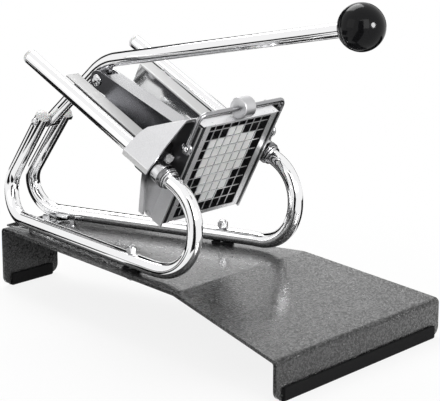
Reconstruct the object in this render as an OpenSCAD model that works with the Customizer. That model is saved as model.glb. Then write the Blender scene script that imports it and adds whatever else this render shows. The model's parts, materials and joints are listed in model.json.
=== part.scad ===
// French fry cutter: a hand lever pushes a finger block through a blade grid.
// +X is the front, +Y the left side, +Z up; the rubber strips stand on z = 0.

/* [Base plate] */
// Length of the bent base plate
base_length = 410; // [400:1:420]
// Length of its level part
flat_length = 278; // [270:1:285]
// Height of the level part above the table
base_height = 60; // [56:1:64]
// Height of the sloping part at the front edge
front_height = 35; // [32:1:38]
// Width at the rear
rear_width = 71; // [66:1:76]
// Width at the front
front_width = 229.2; // [220:0.4:240]
// Sheet thickness
sheet = 3; // [2.5:0.1:3.5]
// Outer radius of the bends
fold_radius = 5; // [4.5:0.5:7]

/* [Rubber strips] */
// Height of the strip
strip_height = 12; // [10:1:14]
// Rubber thickness beside the flange
strip_wall = 2.5; // [2:0.1:3]
// Distance from the flange corner to the strip end
strip_inset = 9; // [9:1:12]

/* [Side tubes] */
// Tube diameter
tube_d = 14; // [13.4:0.2:14.6]
// Tube wall
tube_wall = 1.5; // [1.2:0.1:2]
// Slope of the upper rods
rod_slope = 27.6; // [27:0.2:28.4]
// Height of the rods above the base at their reference point
rod_rise = 145.5; // [144:0.5:148]
// Reach of the front loop
loop_reach = 283.6; // [280:0.4:286]
// Radius of the upper loop bend
loop_radius = 40; // [38:1:42]
// Radius of the rear bend
rear_radius = 29; // [28:0.5:30]
// Length of the straight rear leg
leg_length = 71; // [69:0.5:73]
// Elevation of the rear leg
leg_angle = 54.7; // [53:0.1:56]
// Distance of the cross strap and pads under the rails
pad_thickness = 1.8; // [1.5:0.1:2.2]

/* [Lever] */
// Diameter of the lever tube
lever_d = 13; // [12:0.2:13.4]
// Length from the pivot to the bend
low_arm = 97.9; // [95:0.5:101]
// Elevation of the lower arm
low_angle = 40.8; // [39.8:0.2:42]
// Length from the bend to the middle of the knob
long_arm = 296.7; // [285:1:310]
// Elevation of the long arm
long_angle = 10.65; // [9:0.05:12]
// Diameter of the knob
knob_d = 40; // [36:1:44]

/* [Link] */
// Drop of the link pin below the lever bend
lug_drop = 16.9; // [16.5:0.1:17.5]
// Diameter of the link pins
pin_d = 6; // [5:0.2:6.4]
// Width of the channel link
link_width = 20; // [19.4:0.2:20.4]
// Radial clearance of a turning pin
pin_gap = 0.05; // [0.03:0.01:0.09]

/* [Blade grid] */
// Pitch of the blades
chip = 10.2; // [9.8:0.1:10.6]
// Blade thickness
blade = 0.6; // [0.4:0.1:0.8]
// Depth of the blades
blade_depth = 8; // [7:0.5:8.5]
// Depth of the blade frame
frame_depth = 10; // [9.5:0.5:10.5]
// Clearance on each side of a finger
finger_gap = 0.3; // [0.25:0.05:0.4]

/* [Trough] */
// Trough sheet thickness
trough_sheet = 1.2; // [1:0.1:1.5]
// Depth of the trough below the rods
trough_depth = 45; // [43:0.5:45.5]

/* [Clamp] */
// Wire thickness of the bail
wire_d = 4.2; // [3.8:0.1:4.6]
// Radius of the clamp roller
roller_r = 9.3; // [8.8:0.1:9.5]
// Width of the clamp roller
roller_width = 14; // [12:0.5:16]

/* [Hidden] */
$fn = 64;

steel = [0.82, 0.83, 0.84];
paint = [0.22, 0.22, 0.23];
black = [0.05, 0.05, 0.05];
white = [0.92, 0.92, 0.9];
satin = [0.72, 0.72, 0.73];
dark = [0.4, 0.4, 0.42];

tube_r = tube_d / 2;
ref_x = 150;
wide = 400;

// Base sheet: slope of the front part and the centre of the front bend
fall = atan((base_height - front_height) / (base_length - flat_length));
fold_in = fold_radius - sheet;
nose_x = base_length - fold_radius;
nose_z = base_height - tan(fall) * (nose_x - flat_length) - fold_radius / cos(fall);
flange_z = 2;
corner_r = 8;

// Blade grid in the rod frame: s along the rods to the front, h square to them
open_y = 3.94 * chip;
open_top = 4.83 * chip;
open_low = 4.74 * chip;
row_shift = 0.196 * chip;
frame_y = open_y + 10;
frame_top = open_top + 1.8;
frame_low = open_low + 3.5;
frame_front = 118.1;
frame_back = frame_front - frame_depth;
blade_front = frame_front - 1.6;
blade_back = blade_front - blade_depth;
slot_gap = 0.1;
fit = 0.05;

// A bend is a hair thicker than the straight tube let into it
lap = 0.3;
swell = 0.02;

// Head casting
wall = 2.5;
cheek_in = frame_y + 1;
cheek_out = cheek_in + 2;
duct_in = open_y + 1.4;
duct_out = duct_in + 3.8;
seat_front = frame_back - 0.05;
seat_back = seat_front - 3;
roof_s = 80;
roof_h = 29;
roof_slope = 41.1;
roof_end = 107.5;
roof_drop = wall / cos(roof_slope);
sleeve_r = tube_r + 3;
clamp_y = cheek_out + 4.2;
clamp_h = 9.2;
notch_y = 3.19 * chip;
notch_end = 102;
plate_back = 98;
block_back = 86;
sleeve_length = 26;
collar_length = 4.5;
ring_width = 1.4;

// Clamp bail and the half distance of the rods
bail_y = cheek_out + 0.4 + wire_d / 2;
rod_y = bail_y + wire_d / 2 + 0.3 + sleeve_r;
eye_s = 114.3;
eye_h = 27;
bar_h = frame_top + roller_r + 0.8;
eye_bolt_r = 1.6;
eye_r = eye_bolt_r + fit + wire_d / 2;
hood_y = rod_y + 13.8;

// Front loop, rail and rear leg of one side tube
rod_z = base_height + rod_rise;
rail_z = base_height + pad_thickness + tube_r;
turn_in = 90 - rod_slope;
tangent = loop_radius * tan(turn_in / 2);
corner_z = rod_z - tan(rod_slope) * (loop_reach - ref_x);
room = corner_z - tangent - rail_z;
low_radius = min(loop_radius + 0.5, room - 0.5);
drop_run = room - low_radius;
rod_tail = 72;
rod_run = (loop_reach - tangent * cos(rod_slope) - ref_x) / cos(rod_slope) + rod_tail;
plan_radius = 60;
rear_x = -7.8;
lean = 7.1;
pivot_run = leg_length - 6;
bush_half = lever_d / 2 + 0.3;
pivot_y = tube_r + bush_half + 0.5;
pivot_up = rear_radius * (1 + cos(leg_angle)) + pivot_run * sin(leg_angle);
pivot_side = pivot_up * sin(lean);
pivot_fwd = rear_radius * (1 - sin(leg_angle)) + pivot_run * cos(leg_angle);
rail_x = loop_reach - low_radius - 1;
aim_x = rail_x - (rear_x + pivot_fwd * 0.979 + pivot_side * 0.203);
aim_y = pivot_y - rod_y + plan_radius;
rail_turn = asin((plan_radius - pivot_side) / sqrt(aim_x * aim_x + aim_y * aim_y)) - atan2(aim_y, aim_x);
rail_end_x = rail_x - plan_radius * sin(rail_turn);
rail_end_y = rod_y - plan_radius * (1 - cos(rail_turn));
rail_run = (rail_end_x - rear_x) / cos(rail_turn) - rear_radius;
pivot_x = rear_x + pivot_fwd * cos(rail_turn) + pivot_side * sin(rail_turn);
pivot_z = rail_z + pivot_up * cos(lean);
bolt_r = 2.5;

// Lever and link
bend_x = pivot_x + low_arm * cos(low_angle);
bend_z = pivot_z + low_arm * sin(low_angle);
knob_x = bend_x + long_arm * cos(long_angle);
knob_z = bend_z + long_arm * sin(long_angle);
lever_radius = 60;
lever_turn = low_angle - long_angle;
lever_tangent = lever_radius * tan(lever_turn / 2);
lever_wall = 1.5;
link_pin_z = bend_z - lug_drop;
hook_s = 84;
hook_h = 2;
hook_x = ref_x + hook_s * cos(rod_slope) + hook_h * sin(rod_slope);
hook_z = rod_z - hook_s * sin(rod_slope) + hook_h * cos(rod_slope);
link_length = sqrt(pow(hook_x - bend_x, 2) + pow(hook_z - link_pin_z, 2));
link_fall = atan2(link_pin_z - hook_z, hook_x - bend_x);
link_half = link_width / 2;
link_wall = 2;
link_round = 9;
link_skirt = 15.5;

// Pusher
finger = chip - blade - 2 * finger_gap;
bracket_s = hook_s + link_round + 0.7;
bracket_t = 2.5;
arm_in = link_half + 1;
arm_out = arm_in + 3;
push_back = bracket_s + bracket_t;
push_front = blade_back - 2.3;
tip_s = blade_front - 0.6;
trough_y = duct_in - 0.6 - trough_sheet;
trough_bend = -18;
trough_floor = 14;
trough_rear = -37;
rivet_s = roof_s - 4;
rivet_y = trough_y + 10.2;

// Middle of the length, used to centre the model; the leaning rear bend sets the rear end
lean_part = sin(lean) * sin(rail_turn);
bend_reach = cos(rail_turn) + lean_part - sqrt(pow(cos(rail_turn), 2) + pow(lean_part, 2));
rear_most = rear_x + rear_radius * bend_reach - tube_r - swell;
mid_x = (rear_most + knob_x + knob_d / 2) / 2;

module centred() {
    translate([-mid_x, 0, 0]) children();
}

module rod_frame() {
    centred() translate([ref_x, 0, rod_z]) rotate([0, rod_slope, 0]) children();
}

module both_sides() {
    children();
    mirror([0, 1, 0]) children();
}

// Section drawn in (y, h), drawn out along s
module along_s(from, to) {
    translate([from, 0, 0]) rotate([90, 0, 90]) linear_extrude(to - from) children();
}

// Profile drawn in (s, h), drawn out along y
module along_y(from, to) {
    translate([0, to, 0]) rotate([90, 0, 0]) linear_extrude(to - from) children();
}

module cross_bar(s, h, from, to, r) {
    along_y(from, to) translate([s, h]) circle(r);
}

module section(d, t) {
    difference() {
        circle(d = d);
        if (t > 0) circle(d = d - 2 * t);
    }
}

// Straight tube, let into the bend before and after it
module run(length, d, t, before = lap, after = lap) {
    translate([0, 0, -before]) linear_extrude(length + before + after) section(d, t);
    translate([0, 0, length]) children();
}

module bend(radius, angle, roll, d, t) {
    rotate([0, 0, roll]) {
        translate([radius, 0, 0])
            rotate([90, 0, 180])
                rotate_extrude(angle = angle)
                    translate([radius, 0]) section(d + 2 * swell, t);
        translate([radius * (1 - cos(angle)), 0, radius * sin(angle)])
            rotate([0, angle, 0])
                rotate([0, 0, -roll])
                    children();
    }
}

// Head with a straight rim and a domed face
module domed(r, rim, rise) {
    ball = (r * r + rise * rise) / (2 * rise);
    intersection() {
        cylinder(r = r, h = rim + rise + 1);
        translate([0, 0, rim + rise - ball]) sphere(ball);
    }
}

module end_cap(d, t) {
    translate([0, 0, -9]) cylinder(d = d - 2 * t - 0.1, h = 9 + lap);
    domed(d / 2, 1.5, 0.31 * d);
}

module hex_bolt(head_d, head_h, shank_r, length) {
    cylinder(d = head_d, h = head_h, $fn = 6);
    translate([0, 0, -length]) cylinder(r = shank_r, h = length);
}

module hex_nut(d, h, bore) {
    difference() {
        cylinder(d = d, h = h, $fn = 6);
        translate([0, 0, -1]) cylinder(r = bore, h = h + 2);
    }
}

// Side view of the sheet's outer face, or of its inner face with an inset
module base_side(inset, low, r) {
    top = base_height - inset;
    front = base_length - inset;
    difference() {
        polygon([
            [inset, low],
            [inset, top],
            [flat_length - inset * tan(fall / 2), top],
            [front, top - (front - flat_length + inset * tan(fall / 2)) * tan(fall)],
            [front, low]
        ]);
        translate([fold_radius, base_height - fold_radius]) difference() {
            translate([-r - 1, 0]) square([r + 1, r + 1]);
            circle(r);
        }
        translate([nose_x, nose_z]) difference() {
            polygon([[0, 0], [r + 2, 0], [r + 2, r + 2], [(r + 2) * sin(fall), (r + 2) * cos(fall)]]);
            circle(r);
        }
    }
}

module base_profile() {
    difference() {
        base_side(0, flange_z, fold_radius);
        base_side(sheet, flange_z - 1, fold_in);
    }
}

// Waste outside the rounded lower corner, in short flats
module flange_corners(x, half) {
    reach = half + 0.3 - corner_r;
    both_sides() along_s(x - 1, x + sheet + 1) polygon(concat(
        [for (turn = [0 : 15 : 90]) [reach + corner_r * sin(turn), flange_z + corner_r * (1 - cos(turn))]],
        [[half + 4, flange_z + corner_r], [half + 4, flange_z - 1], [reach, flange_z - 1]]
    ));
}

function half_width(x) = (rear_width + (front_width - rear_width) * x / base_length) / 2;
function rail_y(x) = rail_end_y - (rail_end_x - x) * tan(rail_turn);

rail_bolt_x = 202.6;
rail_bolt_y = rail_y(rail_bolt_x);
rear_bolts = [[15, 10.8], [45, 15.6]];
strap_length = 32;

module base_plate() {
    color(paint) centred() difference() {
        intersection() {
            along_y(-wide / 2, wide / 2) base_profile();
            linear_extrude(base_height + 10) polygon([
                [-1, -half_width(-1)],
                [base_length + 1, -half_width(base_length + 1)],
                [base_length + 1, half_width(base_length + 1)],
                [-1, half_width(-1)]
            ]);
        }
        flange_corners(0, rear_width / 2);
        flange_corners(base_length - sheet, front_width / 2);
        both_sides() {
            translate([rail_bolt_x, rail_bolt_y, base_height - sheet - 1]) cylinder(r = 3.2, h = sheet + 2);
            for (p = rear_bolts)
                translate([p[0], p[1], base_height - sheet - 1]) cylinder(r = 2.7, h = sheet + 2);
        }
    }
}

module foot_strip(x, half) {
    along_y(-half, half) difference() {
        polygon([
            [x - strip_wall, strip_height],
            [x - strip_wall, 1.5],
            [x - strip_wall + 1.5, 0],
            [x + sheet + strip_wall - 1.5, 0],
            [x + sheet + strip_wall, 1.5],
            [x + sheet + strip_wall, strip_height]
        ]);
        translate([x - fit, flange_z]) square([sheet + 2 * fit, strip_height]);
    }
}

module rear_foot_strip() {
    color(black) centred() foot_strip(0, rear_width / 2 - strip_inset);
}

module front_foot_strip() {
    color(black) centred() foot_strip(base_length - sheet, front_width / 2 - strip_inset);
}

module side_path(t) {
    rod_frame()
        translate([-rod_tail, rod_y, 0])
            rotate([0, 90, 0])
                run(rod_run, tube_d, t, before = 0)
                bend(loop_radius, turn_in, 0, tube_d, t)
                run(drop_run, tube_d, t)
                bend(low_radius, 90, 0, tube_d, t)
                run(1, tube_d, t)
                bend(plan_radius, rail_turn, -90, tube_d, t)
                run(rail_run, tube_d, t)
                bend(rear_radius, 180 - leg_angle, -lean, tube_d, t)
                run(leg_length, tube_d, t, after = 0)
                children();
}

module side_tube() {
    difference() {
        side_path(tube_wall);
        centred() translate([rail_bolt_x, rail_bolt_y, rail_z - 10]) cylinder(r = 3.2, h = 20);
        centred() cross_bar(pivot_x, pivot_z, pivot_y - 12, pivot_y + 12, bolt_r + 0.1);
    }
}

module left_frame_tube() {
    color(steel) side_tube();
}

module right_frame_tube() {
    color(steel) mirror([0, 1, 0]) side_tube();
}

module rod_end_caps() {
    color(white) both_sides()
        rod_frame() translate([-rod_tail, rod_y, 0]) rotate([0, -90, 0]) end_cap(tube_d, tube_wall);
}

module leg_tip() {
    rod_frame()
        translate([rod_run - rod_tail, rod_y, 0])
            rotate([0, 90, 0])
                skip_bend(loop_radius, turn_in, 0)
                skip_run(drop_run)
                skip_bend(low_radius, 90, 0)
                skip_run(1)
                skip_bend(plan_radius, rail_turn, -90)
                skip_run(rail_run)
                skip_bend(rear_radius, 180 - leg_angle, -lean)
                skip_run(leg_length)
                children();
}

module skip_run(length) {
    translate([0, 0, length]) children();
}

module skip_bend(radius, angle, roll) {
    rotate([0, 0, roll])
        translate([radius * (1 - cos(angle)), 0, radius * sin(angle)])
            rotate([0, angle, 0])
                rotate([0, 0, -roll])
                    children();
}

module leg_end_caps() {
    color(white) difference() {
        both_sides() leg_tip() end_cap(tube_d, tube_wall);
        centred() cross_bar(pivot_x, pivot_z, -30, 30, bolt_r + 0.3);
    }
}

module rear_cross_strap() {
    half = rail_y(16) + tube_r - 1;
    color(steel) centred() difference() {
        translate([0, -half, base_height]) cube([strap_length, 2 * half, pad_thickness]);
        both_sides()
            translate([rear_bolts[0][0], rear_bolts[0][1], base_height - 1]) cylinder(r = 2.7, h = 5);
    }
}

module strap_bolts() {
    color(steel) centred() both_sides() {
        translate([rear_bolts[0][0], rear_bolts[0][1], base_height + pad_thickness]) {
            cylinder(d = 9.5, h = 0.8);
            translate([0, 0, 0.8]) hex_bolt(8, 4, bolt_r, sheet + pad_thickness + 6);
        }
        translate([rear_bolts[1][0], rear_bolts[1][1], base_height]) {
            cylinder(d = 9.5, h = 0.8);
            translate([0, 0, 0.8]) hex_bolt(8, 4, bolt_r, sheet + 6);
        }
    }
}

module strap_nuts() {
    color(steel) centred() both_sides()
        for (p = rear_bolts)
            translate([p[0], p[1], base_height - sheet - 4]) hex_nut(8, 4, bolt_r + fit);
}

module rail_pads() {
    color(steel) centred() both_sides()
        translate([rail_bolt_x, rail_bolt_y, base_height]) rotate([0, 0, rail_turn]) difference() {
            translate([-10, -4, 0]) cube([20, 8, pad_thickness]);
            translate([0, 0, -1]) cylinder(r = 3.2, h = 5);
        }
}

module rail_bolts() {
    color(steel) centred() both_sides()
        translate([rail_bolt_x, rail_bolt_y, rail_z + tube_r]) {
            hex_bolt(10, 5, 3, tube_d + pad_thickness + sheet + 6);
            translate([0, 0, 5 - lap]) domed(3, 1.5 + lap, 0.8);
        }
}

module rail_nuts() {
    color(steel) centred() both_sides()
        translate([rail_bolt_x, rail_bolt_y, base_height - sheet - 5]) hex_nut(10, 5, 3 + fit);
}

module trough_line(grow) {
    polygon([
        [-trough_y - grow, 2],
        [-trough_y - grow, trough_bend - 0.4 * grow],
        [-trough_floor - 0.4 * grow, -trough_depth - grow],
        [trough_floor + 0.4 * grow, -trough_depth - grow],
        [trough_y + grow, trough_bend - 0.4 * grow],
        [trough_y + grow, 2]
    ]);
}

module trough() {
    color(steel) rod_frame() difference() {
        union() {
            along_s(trough_rear, frame_back - 4) difference() {
                trough_line(trough_sheet);
                trough_line(0);
            }
            along_s(trough_rear, roof_s - 0.5)
                for (side = [-1, 1])
                    translate([side * (trough_y + 7.8) - 7.8, 2 - trough_sheet]) square([15.6, trough_sheet]);
        }
        both_sides() translate([rivet_s, rivet_y, -1]) cylinder(r = 2.1, h = 5);
    }
}

module trough_rivets() {
    color(steel) rod_frame() both_sides() translate([rivet_s, rivet_y, 2]) {
        domed(3.6, 0.3, 1.3);
        translate([0, 0, -9.4]) cylinder(r = 2, h = 9.4 + lap / 2);
    }
}

// Half outline of the casting in (y, h)
hood = [[hood_y - 24, 60], [hood_y - 17.5, 48.8], [hood_y - 9, 28], [hood_y, 1.6],
    [hood_y - 2, -7.4], [hood_y - 7, -21.4], [hood_y - 18, -50]];

module hood_outline(inset) {
    polygon([
        [-hood[0][0] + inset, hood[0][1]],
        [-hood[1][0] + inset, hood[1][1]],
        [-hood[2][0] + inset, hood[2][1]],
        [-hood[3][0] + inset, hood[3][1]],
        [-hood[3][0] + inset, -20],
        [hood[3][0] - inset, -20],
        [hood[3][0] - inset, hood[3][1]],
        [hood[2][0] - inset, hood[2][1]],
        [hood[1][0] - inset, hood[1][1]],
        [hood[0][0] - inset, hood[0][1]]
    ]);
}

function roof(s) = roof_h + (s - roof_s) * tan(roof_slope);

module hood_side() {
    polygon([
        [roof_s - 8, -3],
        [roof_s - 8, 2],
        [roof_s - 7.4, 6.5],
        [roof_s - 6.4, 11],
        [roof_s - 5, 17],
        [roof_s - 3.2, 23],
        [roof_s, roof_h],
        [roof_end, roof(roof_end)],
        [roof_end - 4, 2],
        [roof_end - 4.4, -3]
    ]);
}

module under_roof() {
    from = roof_s - 40;
    to = roof_end + 20;
    polygon([
        [from, -trough_depth],
        [from, roof(from) - roof_drop],
        [to, roof(to) - roof_drop],
        [to, -trough_depth]
    ]);
}

module hood_shell() {
    difference() {
        intersection() {
            along_s(roof_s - 20, roof_end + 5) hood_outline(0);
            along_y(-hood_y - 5, hood_y + 5) hood_side();
        }
        intersection() {
            along_s(roof_s - 30, roof_end + 15) hood_outline(wall);
            along_y(-hood_y - 5, hood_y + 5) under_roof();
        }
        translate([roof_s - 30, -notch_y, 0]) cube([notch_end - roof_s + 30, 2 * notch_y, 80]);
    }
}

rim_line = [[hood[3][0], -1], hood[4], hood[5], hood[6]];
rim_width = 2.2;
facet_s = plate_back + 6.4;
facet_turn = 12;

module lower_plate(inset, raise) {
    polygon([
        [duct_out - 1, -1],
        [hood[3][0] - inset, -1],
        [hood[4][0] - inset, hood[4][1]],
        [hood[5][0] - inset, hood[5][1]],
        [hood[6][0] - inset, hood[6][1] + raise],
        [cheek_out + 4.5, hood[6][1] + raise],
        [cheek_out - 1, -frame_low - 3],
        [duct_out - 1, -frame_low - 3]
    ]);
}

module head_side() {
    // duct wall beside the grid
    along_y(duct_in, duct_out) polygon([
        [roof_s, -8],
        [roof_s, roof(roof_s) - 1],
        [seat_back, roof(seat_back) - 1],
        [seat_back, -frame_low - 3],
        [plate_back, -frame_low - 3],
        [plate_back, -16],
        [block_back, -8]
    ]);
    // seat for the blade frame and the cheek beside it
    along_s(seat_back, seat_front)
        translate([duct_in, -frame_low - 3]) square([cheek_out - duct_in, frame_low + 3 + frame_top - 1]);
    along_y(cheek_in, cheek_out)
        translate([plate_back, -frame_low - 3]) square([frame_front - plate_back, frame_low + 3 + frame_top - 1]);
    // lower front plate, the facet that leans back from its crease, and the raised rim
    along_s(plate_back, plate_back + 1.5) lower_plate(0, 0);
    difference() {
        along_s(plate_back, facet_s) lower_plate(1, 3.5);
        translate([facet_s, cheek_out, -wide / 4]) rotate([0, 0, facet_turn]) cube([20, 60, wide / 2]);
    }
    along_s(plate_back, roof_end - 4.2) polygon(concat(
        [for (p = rim_line) p],
        [for (i = [len(rim_line) - 1 : -1 : 0]) rim_line[i] - [rim_width, 0]]
    ));
    // boss round the sleeve, its web, and the ledge under the trough edge
    translate([block_back, rod_y, 0]) rotate([0, 90, 0]) cylinder(r = sleeve_r + 1.6, h = plate_back - block_back);
    translate([block_back, duct_out - 1, -6]) cube([plate_back - block_back, rod_y - duct_out, 20]);
    // boss of the clamp screw
    translate([plate_back - 1, clamp_y, clamp_h]) rotate([0, 90, 0]) cylinder(r = 4.6, h = 4);
    translate([roof_s - 8, duct_in + 2, -6]) cube([block_back - roof_s + 9, 13, 8 - trough_sheet]);
}

module head_housing() {
    color(satin) rod_frame() difference() {
        union() {
            hood_shell();
            both_sides() head_side();
            translate([plate_back, -cheek_out, -frame_low - 3]) cube([seat_front - plate_back, 2 * cheek_out, 3]);
        }
        both_sides() {
            translate([roof_s - 20, rod_y, 0]) rotate([0, 90, 0]) cylinder(r = sleeve_r + fit, h = 80);
            translate([block_back + 2, clamp_y, clamp_h]) rotate([0, 90, 0]) cylinder(r = bolt_r + fit, h = 20);
            translate([rivet_s, rivet_y, -20]) cylinder(r = 2.1, h = 40);
            cross_bar(eye_s, eye_h, cheek_in - 1, cheek_out + 1, eye_bolt_r + fit);
        }
    }
}

module head_sleeves() {
    color(steel) rod_frame() both_sides()
        translate([block_back, rod_y, 0]) rotate([0, 90, 0]) difference() {
            cylinder(r = sleeve_r, h = sleeve_length);
            translate([0, 0, -1]) cylinder(r = tube_r + fit, h = sleeve_length + 2);
        }
}

module collar(s, length, r) {
    translate([s, rod_y, 0]) rotate([0, 90, 0]) difference() {
        cylinder(r = r, h = length);
        translate([0, 0, -1]) cylinder(r = tube_r + fit, h = length + 2);
    }
}

module sleeve_collars() {
    color(dark) rod_frame() both_sides() collar(block_back + sleeve_length, collar_length, sleeve_r + 0.3);
}

module sleeve_rings() {
    color(steel) rod_frame() both_sides() {
        collar(block_back + sleeve_length + collar_length, ring_width, sleeve_r - 0.6);
        collar(block_back + sleeve_length + collar_length + ring_width + 0.8, ring_width, sleeve_r - 1.2);
    }
}

module clamp_screws() {
    color(steel) rod_frame() both_sides()
        translate([plate_back + 3, clamp_y, clamp_h]) rotate([0, 90, 0]) hex_bolt(7.5, 3.6, bolt_r, 12);
}

columns = [-3, -2, -1, 0, 1, 2, 3];
rows = [-4, -3, -2, -1, 0, 1, 2, 3, 4];
blade_bite = 1.2;

module blade_slots(extra, short) {
    for (c = columns)
        translate([blade_back - extra, c * chip - blade / 2 - extra, -open_low - blade_bite + short])
            cube([blade_depth + 2 * extra, blade + 2 * extra, open_low + open_top + 2 * blade_bite - 2 * short]);
}

module row_slots(extra, short) {
    for (r = rows)
        translate([blade_back - extra, -open_y - blade_bite + short, r * chip + row_shift - blade / 2 - extra])
            cube([blade_depth + 2 * extra, 2 * (open_y + blade_bite - short), blade + 2 * extra]);
}

module blade_frame() {
    color(steel) rod_frame() difference() {
        translate([frame_back, -frame_y, -frame_low])
            cube([frame_depth, 2 * frame_y, frame_low + frame_top]);
        translate([frame_back - 1, -open_y, -open_low])
            cube([frame_depth + 2, 2 * open_y, open_low + open_top]);
        blade_slots(slot_gap, 0);
        row_slots(slot_gap, 0);
    }
}

// The two blade sets cross in half-depth slots
module vertical_blades() {
    color(steel) rod_frame() difference() {
        blade_slots(0, 0.1);
        for (r = rows)
            translate([blade_back - 1, -open_y - 3, r * chip + row_shift - blade / 2 - slot_gap])
                cube([blade_depth / 2 + 1 + fit, 2 * open_y + 6, blade + 2 * slot_gap]);
    }
}

module horizontal_blades() {
    color(steel) rod_frame() difference() {
        row_slots(0, 0.1);
        for (c = columns)
            translate([blade_back + blade_depth / 2 - fit, c * chip - blade / 2 - slot_gap, -open_low - 3])
                cube([blade_depth / 2 + 1 + fit, blade + 2 * slot_gap, open_low + open_top + 6]);
    }
}

module bail_screws() {
    color(steel) rod_frame() both_sides() {
        cross_bar(eye_s, eye_h, cheek_in, bail_y + wire_d / 2 + 0.2, eye_bolt_r);
        translate([eye_s, bail_y + wire_d / 2 + 0.2, eye_h]) rotate([-90, 0, 0]) domed(3, 0.4, 1.3);
    }
}

module bail_wire() {
    bar_bend = 7;
    color(steel) rod_frame() both_sides() {
        translate([eye_s, bail_y, eye_h])
            rotate([90, 0, 0]) rotate_extrude() translate([eye_r, 0]) circle(d = wire_d);
        translate([eye_s, bail_y, eye_h + eye_r])
            rotate([0, 0, -90])
                run(bar_h - eye_h - eye_r - bar_bend, wire_d, 0, before = 0)
                bend(bar_bend, 90, 0, wire_d, 0)
                run(bail_y - bar_bend, wire_d, 0);
    }
}

module clamp_roller() {
    color(satin) rod_frame() translate([eye_s, -0.8, bar_h]) rotate([90, 0, 0]) difference() {
        translate([0, 0, -roller_width / 2]) cylinder(r = roller_r, h = roller_width);
        translate([0, 0, -roller_width]) cylinder(r = wire_d / 2 + fit, h = 2 * roller_width);
    }
}

module lever_path(t) {
    centred() translate([pivot_x, 0, pivot_z]) rotate([0, 90 - low_angle, 0])
        run(low_arm - lever_tangent, lever_d, t, before = 0)
        bend(lever_radius, lever_turn, 0, lever_d, t)
        run(long_arm - lever_tangent - 6, lever_d, t, after = 0);
}

module lever_tube() {
    color(steel) difference() {
        lever_path(lever_wall);
        centred() cross_bar(pivot_x, pivot_z, -20, 20, lever_d / 2 + 0.02);
    }
}

module lever_bush() {
    color(steel) centred() difference() {
        cross_bar(pivot_x, pivot_z, -bush_half, bush_half, lever_d / 2);
        cross_bar(pivot_x, pivot_z, -20, 20, bolt_r + pin_gap);
    }
}

module lever_lug() {
    color(steel) difference() {
        centred() union() {
            cross_bar(bend_x, link_pin_z, -lug_half, lug_half, pin_d / 2 + 3.3);
            along_y(-2.5, 2.5) polygon([
                [bend_x - 6, link_pin_z],
                [bend_x - 9, link_pin_z + 13],
                [bend_x + 9, link_pin_z + 13],
                [bend_x + 6, link_pin_z]
            ]);
        }
        lever_path(0);
        centred() cross_bar(bend_x, link_pin_z, -20, 20, pin_d / 2 + fit);
    }
}

lug_half = link_half - link_wall - 0.3;

module ball_knob() {
    color(black) difference() {
        centred() translate([knob_x, 0, knob_z]) sphere(d = knob_d);
        centred() translate([knob_x, 0, knob_z]) rotate([0, 90 - long_angle, 0])
            translate([0, 0, -knob_d]) cylinder(d = lever_d + 2 * fit, h = knob_d - 6 + fit);
    }
}

module link_pin() {
    color(steel) centred() {
        cross_bar(bend_x, link_pin_z, -link_half - 0.3, link_half + 2.4, pin_d / 2);
        translate([bend_x, -link_half - 0.3, link_pin_z]) rotate([90, 0, 0]) domed(pin_d / 2 + 2.4, 1, 1.8);
    }
}

module clip_ring(x, z, y, t) {
    difference() {
        cross_bar(x, z, y, y + t, pin_d / 2 + 2);
        cross_bar(x, z, y - 1, y + t + 1, pin_d / 2 + 0.02);
    }
}

module link_pin_clip() {
    color(steel) centred() clip_ring(bend_x, link_pin_z, link_half + 0.4, 1.2);
}

module pivot_bolt() {
    color(steel) centred() {
        cross_bar(pivot_x, pivot_z, -pivot_y - tube_r - 0.1, pivot_y + tube_r + 5, bolt_r);
        translate([pivot_x, -pivot_y - tube_r - 0.1, pivot_z]) rotate([90, 0, 0]) domed(3.9, 0.5, 2.1);
    }
}

module pivot_nut() {
    color(steel) centred() translate([pivot_x, pivot_y + tube_r + 0.1, pivot_z]) rotate([-90, 0, 0])
        hex_nut(8, 4, bolt_r + fit);
}

module link_frame() {
    centred() translate([bend_x, 0, link_pin_z]) rotate([0, link_fall, 0]) children();
}

module link() {
    color(dark) link_frame() difference() {
        union() {
            both_sides() along_y(link_half - link_wall, link_half) {
                circle(link_round);
                translate([link_length, 0]) circle(link_round);
                translate([0, -link_round]) square([link_length, 2 * link_round]);
                polygon([
                    [6, 0],
                    [20, -link_skirt],
                    [link_length - 22, -link_skirt],
                    [link_length - 8, 0]
                ]);
            }
            translate([8, -link_half + 1, link_round - link_wall])
                cube([link_length - 24, link_width - 2, link_wall]);
        }
        cross_bar(0, 0, -20, 20, pin_d / 2 + pin_gap);
        cross_bar(link_length, 0, -20, 20, pin_d / 2 + 0.02);
    }
}

module cross_pin() {
    color(steel) link_frame() cross_bar(link_length, 0, -arm_out - 1.8, arm_out + 1.8, pin_d / 2);
}

module cross_pin_clips() {
    color(steel) link_frame() both_sides() clip_ring(link_length, 0, arm_out + 0.4, 1);
}

module finger_at(c, r) {
    translate([push_front - 1, (c + 0.5) * chip - finger / 2, (r + 0.5) * chip + row_shift - finger / 2])
        cube([tip_s - push_front + 1, finger, finger]);
}

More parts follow.
